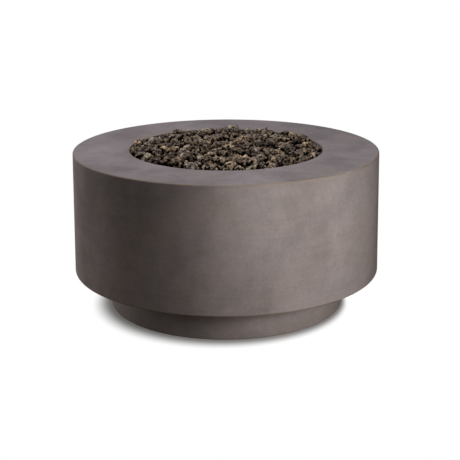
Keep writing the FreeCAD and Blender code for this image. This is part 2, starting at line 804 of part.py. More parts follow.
def build_valve():
    """Angle key valve: body with an inlet boss, fittings, quarter-turn plug, seals and packing nut."""
    barrel, neck = "barrel_diameter / 2", "neck_diameter / 2"
    cavity, thread = "plug_diameter / 2", "flare_thread / 2"
    outlet_seat = "fitting_engagement - barrel_back"
    valve = turned_on_stem(
        "valve_body",
        [
            (thread, "-barrel_back"),
            (barrel, "-barrel_back"),
            (barrel, "barrel_front"),
            (neck, "barrel_front"),
            (neck, NECK_END),
            (cavity, NECK_END),
            (cavity, "-plug_back"),
            ("line_bore / 2", "-plug_back"),
            ("line_bore / 2", outlet_seat),
            (thread, outlet_seat),
        ],
    )
    boss = new_sketch(valve, "XY_Plane")
    add_circle(boss, "boss_diameter")
    extrude(valve, boss, "boss_length", along_normal=False)
    inside = new_sketch(valve, "XZ_Plane", "-barrel_front")
    add_circle(inside, "plug_diameter")
    extrude(valve, inside, "barrel_front + plug_back", "Pocket")
    way = new_sketch(valve, "XY_Plane")
    add_circle(way, "line_bore")
    extrude(valve, way, "boss_length", "Pocket", along_normal=False)
    socket = new_sketch(valve, "XY_Plane", "-boss_length")
    add_circle(socket, "flare_thread")
    extrude(valve, socket, "fitting_engagement", "Pocket")

    outlet = turned_on_stem(
        "valve_outlet",
        [
            ("line_bore / 2", outlet_seat),
            (thread, outlet_seat),
            (thread, f"-{OUTLET_REACH}"),
            ("line_bore / 2", f"-{OUTLET_REACH}"),
        ],
    )
    collar = new_sketch(outlet, "XZ_Plane", "barrel_back")
    add_hexagon(collar, "fitting_hex")
    add_circle(collar, "flare_thread")
    extrude(outlet, collar, "fitting_hex_length")

    pipe = "pipe_diameter / 2"
    inlet = new_body("valve_inlet", y=VALVE_PLACE, z=f"{VALVE_AXIS} - boss_length")
    side = new_sketch(inlet, "XZ_Plane")
    foot = "-(fitting_hex_length + inlet_length)"
    add_outline(
        side,
        [
            ("line_bore / 2", "fitting_engagement"),
            (thread, "fitting_engagement"),
            (thread, "-fitting_hex_length / 2"),
            (pipe, "-fitting_hex_length / 2"),
            (pipe, foot),
            ("line_bore / 2", foot),
        ],
    )
    turn(inlet, side)
    collar = new_sketch(inlet, "XY_Plane")
    add_hexagon(collar, "fitting_hex")
    add_circle(collar, "line_bore")
    extrude(inlet, collar, "fitting_hex_length", along_normal=False)

    round_plug = "plug_diameter / 2 - plug_clearance"
    plug = turned_on_stem(
        "valve_plug",
        [
            ("0", "plug_clearance - plug_back"),
            (round_plug, "plug_clearance - plug_back"),
            (round_plug, "plug_front"),
            ("stem_diameter / 2", "plug_front"),
            ("stem_diameter / 2", "stem_reach"),
            ("0", "stem_reach"),
        ],
    )
    square = new_sketch(plug, "XZ_Plane", "-stem_reach")
    add_rectangle(square, ("-stem_square / 2",) * 2, ("stem_square / 2",) * 2)
    extrude(plug, square, "stem_square_length", along_normal=False)
    side_port = new_sketch(plug, "YZ_Plane")
    add_circle(side_port, "plug_port")
    extrude(plug, side_port, "plug_diameter", "Pocket")
    back_port = new_sketch(plug, "XZ_Plane")
    add_circle(back_port, "plug_port")
    extrude(plug, back_port, "plug_back", "Pocket")

    packing_seat = f"({NECK_END} - fitting_engagement)"
    seal = f"(({packing_seat} - plug_front) / seal_count)"
    seals = new_body("stem_seals", y=VALVE_PLACE, z=VALVE_AXIS)
    for number in range(int(value("seal_count"))):
        near = f"-(plug_front + {number} * {seal} + seal_gap)"
        ring = new_sketch(seals, "XZ_Plane", near)
        add_circle(ring, "plug_diameter")
        add_circle(ring, "stem_diameter + 2 * packing_clearance")
        extrude(seals, ring, f"{seal} - 2 * seal_gap", along_normal=False)

    packing = new_body("packing_nut", y=VALVE_PLACE, z=VALVE_AXIS)
    stem_hole = "stem_diameter + 2 * packing_clearance"
    screwed = new_sketch(packing, "XZ_Plane", f"-{packing_seat}")
    add_circle(screwed, "plug_diameter")
    add_circle(screwed, stem_hole)
    extrude(packing, screwed, "fitting_engagement", along_normal=False)
    head = new_sketch(packing, "XZ_Plane", f"-{NECK_END}")
    add_hexagon(head, "packing_width")
    add_circle(head, stem_hole)
    extrude(packing, head, "packing_head", along_normal=False)


def build_wall_passage():
    """Sleeve from the valve's neck through the wall, its nut inside, the trim outside and the key."""
    sleeve = new_body("wall_sleeve", y=VALVE_PLACE, z=VALVE_AXIS)
    section = new_sketch(sleeve, "XZ_Plane", f"sleeve_overlap - {NECK_END}")
    add_circle(section, "sleeve_diameter")
    add_circle(section, "neck_diameter")
    through = f"valve_setback + sleeve_stand - {NECK_END} + sleeve_overlap"
    extrude(sleeve, section, through, along_normal=False)

    wall = "bowl_diameter / 2 - wall_thickness"
    face = f"sqrt(({wall}) * ({wall}) - sleeve_nut_width * sleeve_nut_width / 3)"
    nut = new_body("sleeve_nut", y=face, z=VALVE_AXIS)
    hexagon = new_sketch(nut, "XZ_Plane")
    add_hexagon(hexagon, "sleeve_nut_width")
    add_circle(hexagon, "sleeve_diameter")
    extrude(nut, hexagon, "sleeve_nut_thickness")

    key_hole = "key_shaft / 2 + key_hole_clearance"
    face, rim = "valve_setback + escutcheon_thickness", "valve_setback + escutcheon_rim"
    seat = "valve_setback + sleeve_stand"
    turned_on_stem(
        "escutcheon",
        [
            ("sleeve_diameter / 2", "valve_setback"),
            ("escutcheon_diameter / 2", "valve_setback"),
            ("escutcheon_diameter / 2", rim),
            ("escutcheon_boss / 2", face),
            (key_hole, face),
            (key_hole, seat),
            ("sleeve_diameter / 2", seat),
        ],
    )

    key = new_body("valve_key", y=VALVE_PLACE, z=VALVE_AXIS)
    mouth = "stem_reach + key_clearance"
    handle = "valve_setback + escutcheon_thickness + key_stand"
    shaft = new_sketch(key, "XZ_Plane", f"-({mouth})")
    add_circle(shaft, "key_shaft")
    extrude(key, shaft, f"{handle} + key_loop / 2 - ({mouth})", along_normal=False)
    loop = new_sketch(key, "YZ_Plane", "-key_handle_thickness / 2")
    add_ellipse(loop, "key_handle_height", "key_handle_width", f"{handle} + key_handle_height / 2")
    inner_height, inner_width = "key_handle_height - 2 * key_loop", "key_handle_width - 2 * key_loop"
    add_ellipse(loop, inner_height, inner_width, f"{handle} + key_handle_height / 2")
    extrude(key, loop, "key_handle_thickness")
    socket = new_sketch(key, "XZ_Plane", f"-({mouth})")
    half = "stem_square / 2 + key_clearance / 2"
    add_rectangle(socket, (f"-({half})",) * 2, (half,) * 2)
    extrude(key, socket, "stem_square_length + key_clearance", "Pocket", along_normal=False)


def build_bed():
    """Fine lava fill in the pan, level over the burner and open where the burner's tubes lie in it."""
    lining = f"{PAN_RADIUS} - sheet_thickness - bed_clearance"
    hub = "hub_diameter / 2 + bed_clearance"
    hub_top = "gasket_thickness + hub_height + bed_clearance"
    rim = "pan_depth - sheet_thickness"
    body = turned(
        "lava_bed",
        [
            (hub, "0"),
            (lining, "0"),
            (lining, rim),
            ("fire_opening / 2 - bed_clearance", rim),
            ("fire_opening / 2 - bed_clearance", "bed_depth"),
            ("0", "bed_depth"),
            ("0", hub_top),
            (hub, hub_top),
        ],
        z=PAN_FLOOR,
    )
    round_rims(body, "bend_radius", [(lining, "0")])
    for ring in ("outer_ring", "inner_ring"):
        cut_ring(body, ring, "burner_tube + 2 * bed_clearance", RING_LIFT)
    section = new_sketch(body, "YZ_Plane")
    add_circle(section, "spoke_tube + 2 * bed_clearance", y=RING_LIFT)
    ring_of(body, [extrude(body, section, "outer_ring / 2", "Pocket")], "spoke_count")
    foot = new_sketch(body, "XY_Plane")
    half_step = "180 / spoke_count"
    across = f"outer_ring / 2 * cos({half_step})"
    beside = f"outer_ring / 2 * sin({half_step})"
    add_circle(foot, "standoff_diameter + 2 * bed_clearance", across, beside)
    ring_of(body, [extrude(body, foot, RING_LIFT, "Pocket")], "spoke_count")


def settle_stones(draw):
    """Middle and reach of each loose stone, dropped and rolled into low pockets up to the deck."""
    floor, level = value(f"{PAN_FLOOR} + bed_depth"), value(f"{DECK_TOP} + stone_proud")
    room = value("fire_opening / 2 - stone_wall_gap")
    small, large = value("stone_small / 2"), value("stone_large / 2")
    tries = int(value("stone_tries"))
    cells = collections.defaultdict(list)

    def cell(x, y):
        """Square of the plan, one large stone wide, that holds x, y."""
        return int(x // (2 * large)), int(y // (2 * large))

    def rest(x, y, reach):
        """Height at which a stone that falls at x, y stops, with that place."""
        column, row = cell(x, y)
        height = floor + reach
        for beside in itertools.product((column - 1, column, column + 1), (row - 1, row, row + 1)):
            for middle, other in cells[beside]:
                touch = reach + other
                over = touch * touch - (x - middle.x) ** 2 - (y - middle.y) ** 2
                if over > 0:
                    height = max(height, middle.z + math.sqrt(over))
        return height, x, y

    def any_place(reach):
        """Place in plan where a stone of this reach clears the opening's wall."""
        away, angle = (room - reach) * math.sqrt(draw.random()), draw.uniform(0, 2 * math.pi)
        return away * math.cos(angle), away * math.sin(angle)

    stones, misses = [], 0
    while misses < tries:
        reach = small + (large - small) * draw.random() ** 2
        height, x, y = min(rest(*any_place(reach), reach) for _ in range(tries))
        for roll in range(tries, 0, -1):
            step = reach * roll / tries
            aside = x + draw.uniform(-step, step), y + draw.uniform(-step, step)
            if math.hypot(*aside) < room - reach:
                height, x, y = min((height, x, y), rest(*aside, reach))
        if height + reach > level:
            misses += 1
            continue
        stone = Vector(x, y, height), reach
        cells[cell(x, y)].append(stone)
        stones.append(stone)
    return stones


def stone_corners(middle, reach, stones, draw):
    """Corners of a stone, each pushed out until it meets the plane midway to a neighbour."""
    least, most = value("stone_least_stretch"), value("stone_most_stretch")
    lean, twist = value("stone_lean"), math.radians(value("stone_twist"))
    gap, far = value("stone_gap"), 2 * most * value("stone_large")
    out = Vector(middle.x, middle.y, 0)
    planes = [
        (Vector(0, 0, -1), middle.z - value(f"{PAN_FLOOR} + bed_depth")),
        (out / out.Length, value("fire_opening / 2 - stone_wall_gap") - out.Length),
    ]
    for other, other_reach in stones:
        apart = other.distanceToPoint(middle)
        if 0 < apart < far:
            share = (apart * apart + reach * reach - other_reach * other_reach) / (2 * apart)
            planes.append(((other - middle) / apart, share - gap / 2))
    count, golden = int(value("stone_corners")), math.pi * (3 - math.sqrt(5))
    tilt = FreeCAD.Rotation(draw.uniform(0, 360), draw.uniform(-90, 90), draw.uniform(0, 360))
    least_worn = 1 - value("stone_wear")
    corners = []
    for index in range(count):
        height = 1 - (2 * index + 1 + draw.uniform(-lean, lean)) / count
        angle, ring = golden * index + draw.uniform(-twist, twist), math.sqrt(1 - height * height)
        heading = tilt.multVec(Vector(ring * math.cos(angle), ring * math.sin(angle), height))
        length = reach * draw.uniform(least, most)
        for normal, share in planes:
            facing = normal.dot(heading)
            if facing > 0:
                length = min(length, share / facing)
        corners.append(middle + heading * length * draw.uniform(least_worn, 1))
    return corners


def convex_solid(corners):
    """Solid inside the flat faces that have every other corner on one side."""
    faces = []
    for trio in itertools.combinations(corners, 3):
        first, second, third = trio
        normal = (second - first).cross(third - first)
        sides = [normal.dot(corner - first) > 0 for corner in corners if corner not in trio]
        if all(sides) or not any(sides):
            faces.append(Part.Face(Part.makePolygon([first, second, third, first])))
    shell = Part.makeShell(faces)
    shell.sewShape()
    return Part.makeSolid(shell)


def build_stones():
    """Loose lava stones over the bed, level with the deck."""
    draw = random.Random(int(value("stone_seed")))
    stones = settle_stones(draw)
    solids = [convex_solid(stone_corners(*stone, stones, draw)) for stone in stones]
    rocks = doc.addObject("Part::Feature", "lava_rocks")
    rocks.Label = "lava_rocks"
    rocks.Shape = Part.makeCompound(solids)
    sub_parts.append(rocks)
    print(f"lava stones: {len(solids)}")


def check_and_write():
    """Stop on any failed object, idle cut or bad solid, then write one file for each sub-part."""
    doc.recompute()
    for item in doc.Objects:
        if {"Invalid", "Error"} & set(item.State):
            raise RuntimeError(f"{item.Label} failed: {item.State}")
        if item.TypeId in ("PartDesign::Pocket", "PartDesign::Groove"):
            if item.Shape.Volume >= item.BaseFeature.Shape.Volume:
                raise RuntimeError(f"{item.Label} cuts nothing")
    for part in sub_parts:
        if part.Shape.isNull() or not part.Shape.isValid() or not part.Shape.Solids:
            raise RuntimeError(f"{part.Label} has no valid solid")
    os.makedirs("parts", exist_ok=True)
    for part in sub_parts:
        part.Shape.exportStep(f"parts/{part.Label}.step")


build_bowl()
build_plinth()
build_plinth_joint()
build_pan()
build_burner()
build_pan_fittings()
build_mixer()
build_gas_line()
build_valve()
build_wall_passage()
build_bed()
build_stones()
check_and_write()
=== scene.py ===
"""Looks of a concrete fire bowl: cast concrete, lava stones, a gas burner and its valve, in studio light.

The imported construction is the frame. Each sub-assembly below is a class that dresses its nodes or models
what stands for them, and each finish is a frozen class that writes its own procedural material.
"""

import json
import logging
import math
import random
from collections.abc import Iterable, Iterator, Mapping, Sequence
from dataclasses import dataclass
from enum import Enum

import bmesh
import bpy
from mathutils import Matrix, Vector, noise
from mathutils.bvhtree import BVHTree


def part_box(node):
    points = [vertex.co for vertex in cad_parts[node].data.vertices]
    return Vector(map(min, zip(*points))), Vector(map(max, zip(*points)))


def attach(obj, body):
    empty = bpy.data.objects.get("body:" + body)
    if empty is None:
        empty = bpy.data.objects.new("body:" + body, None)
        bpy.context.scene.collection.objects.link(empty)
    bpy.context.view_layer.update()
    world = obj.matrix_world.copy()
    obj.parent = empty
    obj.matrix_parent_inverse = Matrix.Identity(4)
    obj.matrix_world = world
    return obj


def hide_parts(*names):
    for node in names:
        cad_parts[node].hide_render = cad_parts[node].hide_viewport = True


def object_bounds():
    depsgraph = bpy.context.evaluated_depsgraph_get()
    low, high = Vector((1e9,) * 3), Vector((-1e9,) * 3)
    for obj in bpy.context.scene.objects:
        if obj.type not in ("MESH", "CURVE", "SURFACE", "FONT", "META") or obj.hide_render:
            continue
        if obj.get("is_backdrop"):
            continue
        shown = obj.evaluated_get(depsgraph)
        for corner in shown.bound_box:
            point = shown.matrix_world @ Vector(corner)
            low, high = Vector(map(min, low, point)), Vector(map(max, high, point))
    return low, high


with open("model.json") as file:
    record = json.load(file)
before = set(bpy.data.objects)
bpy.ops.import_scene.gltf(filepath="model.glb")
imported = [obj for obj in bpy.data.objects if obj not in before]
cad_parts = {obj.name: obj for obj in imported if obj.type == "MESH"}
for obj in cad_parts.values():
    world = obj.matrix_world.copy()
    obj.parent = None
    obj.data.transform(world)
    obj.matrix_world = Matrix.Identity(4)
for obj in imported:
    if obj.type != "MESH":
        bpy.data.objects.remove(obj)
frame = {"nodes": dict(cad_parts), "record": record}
CAD_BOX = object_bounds()
IMAGE_WIDTH = 460
log = logging.getLogger("fire_bowl")

Colour = tuple[float, float, float, float]
Triple = tuple[float, float, float]
Span = tuple[float, float]


class Slot(Enum):
    """Material slots of the record."""

    CONCRETE = "concrete"
    LAVA = "lava"
    STAINLESS = "stainless"
    ZINC_STEEL = "zinc_steel"
    BRASS = "brass"
    CHROME = "chrome"
    RUBBER = "rubber"
    GASKET = "gasket"


class Tint(Enum):
    """Tints of the lamps."""

    PLAIN = (1.0, 0.98, 0.97)
    CREAM = (1.0, 0.97, 0.95)
    STRAW = (1.0, 0.98, 0.95)
    COOL = (0.905, 0.91, 1.0)


class Value:
    """One value of a shader. Arithmetic on it adds Math nodes."""

    def __init__(self, recipe: "Recipe", socket: bpy.types.NodeSocket) -> None:
        """Hold an output socket of a recipe's node."""
        self.recipe = recipe
        self.socket = socket

    def math(self, operation: str, *operands: "Input") -> "Value":
        """Result of a Math node on some operands."""
        return self.recipe.node("ShaderNodeMath", {"operation": operation}, dict(enumerate(operands)))

    def __add__(self, other: "Input") -> "Value":
        """Sum."""
        return self.math("ADD", self, other)

    def __sub__(self, other: "Input") -> "Value":
        """Difference."""
        return self.math("SUBTRACT", self, other)

    def __rsub__(self, other: "Input") -> "Value":
        """Difference from a number."""
        return self.math("SUBTRACT", other, self)

    def __mul__(self, other: "Input") -> "Value":
        """Product."""
        return self.math("MULTIPLY", self, other)

    def __truediv__(self, other: "Input") -> "Value":
        """Quotient."""
        return self.math("DIVIDE", self, other)

    def __rtruediv__(self, other: "Input") -> "Value":
        """Quotient of a number by this value."""
        return self.math("DIVIDE", other, self)

    def __pow__(self, other: "Input") -> "Value":
        """Power."""
        return self.math("POWER", self, other)

    def __rpow__(self, other: "Input") -> "Value":
        """Power of a number."""
        return self.math("POWER", other, self)

    __radd__ = __add__
    __rmul__ = __mul__

    def most(self, other: "Input") -> "Value":
        """Larger of two values."""
        return self.math("MAXIMUM", self, other)


Input = Value | float | Sequence[float]


class Recipe:
    """Nodes of one material, or of the world.

    The constants number the sockets of a Mix node that blends colours.
    """

    MIX_FACTOR = 0
    MIX_LOW = 6
    MIX_HIGH = 7
    MIX_RESULT = 2

    def __init__(self, tree: bpy.types.NodeTree) -> None:
        """Start from an empty tree."""
        tree.nodes.clear()
        self.tree = tree

    def node(
        self,
        kind: str,
        settings: Mapping[str, object] | None = None,
        sockets: Mapping[str | int, Input] | None = None,
        output: str | int = 0,
    ) -> Value:
        """Add a node.

        Args:
            kind: The node's type.
            settings: Its own settings, set first; "stops" holds a ramp's places and colours.
            sockets: Values or links for its inputs, by name or number.
            output: Which of its outputs to return.

        Returns:
            The value of that output.
        """
        made = self.tree.nodes.new(kind)
        for key, setting in (settings or {}).items():
            if key == "stops":
                self._set_stops(made.color_ramp, setting)
            else:
                setattr(made, key, setting)
        for key, given in (sockets or {}).items():
            if isinstance(given, Value):
                self.tree.links.new(given.socket, made.inputs[key])
            else:
                made.inputs[key].default_value = given
        return Value(self, made.outputs[output] if made.outputs else None)

    @staticmethod
    def _set_stops(ramp: bpy.types.ColorRamp, stops: Sequence[tuple[float, Colour]]) -> None:
        """Give a ramp its places and colours.

        Args:
            ramp: A ramp as Blender makes it.
            stops: Places from 0 to 1, each with its colour.
        """
        while len(ramp.elements) < len(stops):
            ramp.elements.new(1.0)
        for element, (place, colour) in zip(ramp.elements, stops):
            element.position = place
            element.color = colour

    def place(self) -> Value:
        """Place on the object, in metres."""
        return self.node("ShaderNodeTexCoord", output="Object")

    def axes(self) -> list[Value]:
        """Place on the object along x, y and z."""
        split = self.node("ShaderNodeSeparateXYZ", sockets={0: self.place()})
        return [Value(self, socket) for socket in split.socket.node.outputs]

    def stretched(self, scale: Sequence[float]) -> Value:
        """Place on the object, scaled along each axis."""
        return self.node("ShaderNodeMapping", sockets={"Vector": self.place(), "Scale": scale})

    def cloud(self, per_metre: float, detail: float, place: Value | None = None) -> Value:
        """Soft noise with a number of features to a metre."""
        sockets = {"Vector": place or self.place(), "Scale": per_metre, "Detail": detail}
        return self.node("ShaderNodeTexNoise", sockets=sockets)

    def cells(self, per_metre: float) -> Value:
        """Distance from the nearest of scattered points, with a number of them to a metre."""
        return self.node("ShaderNodeTexVoronoi", sockets={"Vector": self.place(), "Scale": per_metre})

    def step(self, value: Value, start: float, end: float) -> Value:
        """Smooth step from 0 at start to 1 at end."""
        sockets = {"Value": value, "From Min": start, "From Max": end}
        return self.node("ShaderNodeMapRange", {"interpolation_type": "SMOOTHSTEP"}, sockets)

    def mix(self, factor: Input, low: Input, high: Input) -> Value:
        """Blend of two colours."""
        sockets = {self.MIX_FACTOR: factor, self.MIX_LOW: low, self.MIX_HIGH: high}
        return self.node("ShaderNodeMix", {"data_type": "RGBA"}, sockets, self.MIX_RESULT)

    def shade(self, colour: Input, light: Value) -> Value:
        """Make a colour lighter or darker.

        Args:
            colour: The colour.
            light: A value around 1, by which it is multiplied.

        Returns:
            The shaded colour.
        """
        grey = self.node("ShaderNodeCombineColor", sockets={0: light, 1: light, 2: light})
        settings = {"data_type": "RGBA", "blend_type": "MULTIPLY"}
        sockets = {self.MIX_FACTOR: 1.0, self.MIX_LOW: colour, self.MIX_HIGH: grey}
        return self.node("ShaderNodeMix", settings, sockets, self.MIX_RESULT)

    def bump(self, height: Value, distance: float) -> Value:
        """Normal of a surface with this relief."""
        sockets = {"Height": height, "Distance": distance, "Strength": 1.0}
        return self.node("ShaderNodeBump", sockets=sockets)


def make_material(name: str) -> tuple[bpy.types.Material, Recipe]:
    """Make a material.

    Args:
        name: The material's name.

    Returns:
        The material and its recipe, still empty.
    """
    material = bpy.data.materials.new(name)
    material.use_nodes = True
    return material, Recipe(material.node_tree)


def surface(recipe: Recipe, sockets: Mapping[str | int, Input]) -> None:
    """Finish a recipe with one main shader."""
    shader = recipe.node("ShaderNodeBsdfPrincipled", sockets=sockets)
    recipe.node("ShaderNodeOutputMaterial", sockets={"Surface": shader})


def dress(item: bpy.types.Object, material: bpy.types.Material) -> None:
    """Give an object one material in its only slot."""
    item.data.materials.clear()
    item.data.materials.append(material)


@dataclass(frozen=True)
class Mottle:
    """Clouds in a surface: how many to a metre, how detailed, how strong and how stretched."""

    per_metre: float
    detail: float
    strength: float = 1.0
    stretch: Triple | None = None

    def clouds(self, recipe: Recipe) -> Value:
        """Clouds from 0 to 1."""
        place = recipe.stretched(self.stretch) if self.stretch else None
        return recipe.cloud(self.per_metre, self.detail, place)

    def part(self, recipe: Recipe) -> Value:
        """Clouds at their strength."""
        return self.clouds(recipe) * self.strength


@dataclass(frozen=True)
class Rim:
    """Edge of a round casting, where wear shows first."""

    radius: float
    height: float


@dataclass(frozen=True)
class ConcreteFinish:
    """Smooth cast concrete: cloudy cement, fine sand, a few air holes with painted shade in them and edges
    worn to a tan line.
    """

    pale: Colour = (0.286, 0.252, 0.244, 1)
    dark: Colour = (0.202, 0.176, 0.169, 1)
    warm: Colour = (0.252, 0.212, 0.192, 1)
    worn: Colour = (0.245, 0.194, 0.152, 1)
    # Near black in the air holes: painted shade.
    hole_shade: Colour = (0.055, 0.046, 0.042, 1)
    broad: Mottle = Mottle(4.5, 4, 0.45)
    patchy: Mottle = Mottle(23, 5, 0.15)
    flow: Mottle = Mottle(7, 4, 0.4, (1, 1, 0.22))
    tone_span: Span = (0.37, 0.63)
    warmth: Mottle = Mottle(9, 4, 0.5)
    warm_span: Span = (0.42, 0.7)
    sand: Mottle = Mottle(900, 2, 0.17)
    dust: Mottle = Mottle(210, 3, 0.25)
    grit: Mottle = Mottle(95, 3, 0.22)
    blot: Mottle = Mottle(16, 4, 0.28, (1, 1, 1.6))
    drag: Mottle = Mottle(1, 3, 0.12, (6, 6, 150))
    grain_base: float = 0.48
    wear_reach: float = 0.0065
    wear_core: float = 0.25
    wear_span: Span = (0.3, 0.55)
    holes_per_metre: float = 75
    hole_span: Span = (0.085, 0.05)
    hole_groups: Mottle = Mottle(11, 2)
    group_span: Span = (0.52, 0.68)
    hole_shade_share: float = 0.8
    roughness: float = 0.62
    tone_polish: float = 0.08
    dust_roughness: float = 0.12
    gloss: float = 0.0
    sand_relief: float = 0.25
    dust_relief: float = 0.5
    patch_relief: float = 0.6
    hole_relief: float = 3
    relief_depth: float = 0.0004

    def material(self, name: str, rims: Iterable[Rim], painted_lightening: float) -> bpy.types.Material:
        """Write the material of one casting.

        Args:
            name: The material's name.
            rims: The edges where the surface is worn.
            painted_lightening: How much paler the cement is painted than the finish says, as painted
                light; 1 for none.

        Returns:
            The material.
        """
        material, recipe = make_material(name)
        patchy, sand, dust = (kind.clouds(recipe) for kind in (self.patchy, self.sand, self.dust))
        tone = self.broad.part(recipe) + patchy * self.patchy.strength + self.flow.part(recipe)
        tone = recipe.step(tone, *self.tone_span)
        warmth = recipe.step(self.warmth.clouds(recipe), *self.warm_span) * self.warmth.strength
        cement = recipe.mix(warmth, recipe.mix(tone, self.dark, self.pale), self.warm)
        grain = sand * self.sand.strength + dust * self.dust.strength + self.grit.part(recipe)
        grain = grain + self.blot.part(recipe) + self.drag.part(recipe)
        # The grain is random; the painted light makes the plinth's cement paler.
        cement = recipe.shade(cement, (grain + self.grain_base) * painted_lightening)
        wear = self._wear(recipe, rims) * recipe.step(patchy, *self.wear_span)
        holes = self._holes(recipe)
        # Painted shade: the air holes are darkened; the bump below also sinks them.
        cement = recipe.mix(holes * self.hole_shade_share, recipe.mix(wear, cement, self.worn), self.hole_shade)
        relief = sand * self.sand_relief + dust * self.dust_relief + patchy * self.patch_relief
        relief = relief - holes * self.hole_relief
        surface(recipe, {
            "Base Color": cement,
            "Roughness": self.roughness - tone * self.tone_polish + dust * self.dust_roughness,
            "Specular IOR Level": self.gloss,
            "Normal": recipe.bump(relief, self.relief_depth),
        })
        return material

    def _wear(self, recipe: Recipe, rims: Iterable[Rim]) -> Value:
        """Find where the surface is worn.

        Args:
            recipe: The recipe to write to.
            rims: The edges where the surface is worn.

        Returns:
            The worn share of the surface, highest on the rims.
        """
        across, along, up = recipe.axes()
        out = (across * across + along * along) ** 0.5
        worn, *others = (self._near(recipe, out, up, rim) for rim in rims)
        for other in others:
            worn = worn.most(other)
        return worn

    def _near(self, recipe: Recipe, out: Value, up: Value, rim: Rim) -> Value:
        """Find how near a point is to one rim.

        Args:
            recipe: The recipe to write to.
            out: Distance from the casting's axis.
            up: Height above the floor.
            rim: The rim.

        Returns:
            Nearness, from 0 at the reach of wear to 1 on the edge.
        """
        aside, above = out - rim.radius, up - rim.height
        away = (aside * aside + above * above) ** 0.5
        return recipe.step(away, self.wear_reach, self.wear_reach * self.wear_core)

    def _holes(self, recipe: Recipe) -> Value:
        """Small air holes, in loose groups, whose mask sinks them and paints shade in them."""
        grouped = recipe.step(self.hole_groups.clouds(recipe), *self.group_span)
        return recipe.step(recipe.cells(self.holes_per_metre), *self.hole_span) * grouped


@dataclass(frozen=True)
class LavaFinish:
    """Porous lava stone: charcoal to rust and tan, with painted shade in its pits, its pores and the gaps
    between stones.
    """

    # Near black: painted shade for pits, pores and the gaps between stones.
    shaded_pit: Colour = (0.0022, 0.0017, 0.0014, 1)
    charcoal: Colour = (0.158, 0.129, 0.103, 1)
    umber: Colour = (0.316, 0.227, 0.156, 1)
    ash: Colour = (0.485, 0.405, 0.310, 1)
    ochre: Colour = (0.610, 0.416, 0.238, 1)
    umber_place: float = 0.38
    ash_place: float = 0.72
    grain: Mottle = Mottle(150, 4, 0.8)
    blotch: Mottle = Mottle(105, 4, 1.2)
    blotch_span: Span = (0.3, 0.7)
    blotch_base: float = 0.35
    painted_shade_span: Span = (0.92, 0.34)
    wide_pores: float = 125
    fine_pores: float = 340
    pore_span: Span = (0.36, 0.2)
    fine_share: float = 0.7
    pore_shade_share: float = 0.75
    fines_per_metre: float = 130
    fines_span: Span = (0.25, 0.6)
    fines_tone: Mottle = Mottle(60, 3)
    rubble: Mottle = Mottle(190, 4)
    roughness: float = 0.86
    pore_roughness: float = 0.1
    gloss: float = 0.0
    pore_relief: float = 0.5
    relief_depth: float = 0.005
    tone_layer: str = "stone_tone"
    painted_shade_layer: str = "stone_painted_shade"

    def stones(self) -> bpy.types.Material:
        """Write the material of stones whose tone and painted shade are stored on their points.

        Returns:
            The material.
        """
        material, recipe = make_material("lava_stone")
        tone, painted_shade_relief = (
            recipe.node("ShaderNodeAttribute", {"attribute_name": layer}, output="Fac")
            for layer in (self.tone_layer, self.painted_shade_layer)
        )
        places = (0.0, self.umber_place, self.ash_place, 1.0)
        stops = list(zip(places, (self.charcoal, self.umber, self.ash, self.ochre)))
        tone = tone + self.grain.part(recipe) - self.grain.strength / 2
        body = recipe.node("ShaderNodeValToRGB", {"stops": stops}, {"Fac": tone})
        blotch = recipe.step(self.blotch.clouds(recipe), *self.blotch_span) * self.blotch.strength
        body = recipe.shade(body, blotch + self.blotch_base)
        pores = self._pores(recipe)
        # Painted shade in the open pores, which the bump also sinks.
        body = recipe.mix(pores * self.pore_shade_share, body, self.shaded_pit)
        # Painted shade: pits and points that other stones hide from the sky turn near black.
        body = recipe.mix(recipe.step(painted_shade_relief, *self.painted_shade_span), body, self.shaded_pit)
        self._finish(recipe, body, pores)
        return material

    def bed(self) -> bpy.types.Material:
        """Write the material of the finer fill, a mass of small dark stones with painted shade in the gaps
        between them.

        Returns:
            The material.
        """
        material, recipe = make_material("lava_fines")
        gaps = recipe.step(recipe.cells(self.fines_per_metre), *self.fines_span)
        body = recipe.mix(self.fines_tone.clouds(recipe), self.charcoal, self.umber)
        # Painted shade in the gaps between the small stones.
        self._finish(recipe, recipe.mix(gaps, body, self.shaded_pit), gaps)
        return material

    def _pores(self, recipe: Recipe) -> Value:
        """Find the small gas bubbles that are open at the surface.

        Args:
            recipe: The recipe to write to.

        Returns:
            One in the middle of a wide bubble, less in a fine one, and zero elsewhere.
        """
        wide, fine = (
            recipe.step(recipe.cells(many), *self.pore_span) for many in (self.wide_pores, self.fine_pores)
        )
        return wide.most(fine * self.fine_share)

    def _finish(self, recipe: Recipe, colour: Value, pores: Value) -> None:
        """Finish a recipe as rough stone with pores sunk into it.

        Args:
            recipe: The recipe to write to.
            colour: The stone's colour.
            pores: Where pores are open.
        """
        relief = self.rubble.clouds(recipe) - pores * self.pore_relief
        surface(recipe, {
            "Base Color": colour,
            "Roughness": self.roughness + pores * self.pore_roughness,
            "Specular IOR Level": self.gloss,
            "Normal": recipe.bump(relief, self.relief_depth),
        })


@dataclass(frozen=True)
class MetalFinish:
    """Metal with a tint that drifts, fine tool marks and a roughness that varies over it."""

    name: str
    bright: Colour
    dull: Colour
    roughness: float
    marks: Triple = (900, 900, 60)
    mark_depth: float = 0.00004
    stain: Mottle = Mottle(38, 4)
    stain_span: Span = (0.38, 0.66)
    clean_share: float = 0.75
    stain_share: float = 0.5
    mark_roughness: float = 0.08

    def material(self) -> bpy.types.Material:
        """Write the material.

        Returns:
            The material.
        """
        material, recipe = make_material(self.name)
        stain = recipe.step(self.stain.clouds(recipe), *self.stain_span)
        marks = recipe.cloud(per_metre=1, detail=2, place=recipe.stretched(self.marks))
        stained = stain * (self.roughness * self.stain_share)
        surface(recipe, {
            "Base Color": recipe.mix(stain, self.bright, self.dull),
            "Metallic": 1.0,
            "Roughness": self.roughness * self.clean_share + stained + marks * self.mark_roughness,
            "Normal": recipe.bump(marks, self.mark_depth),
        })
        return material


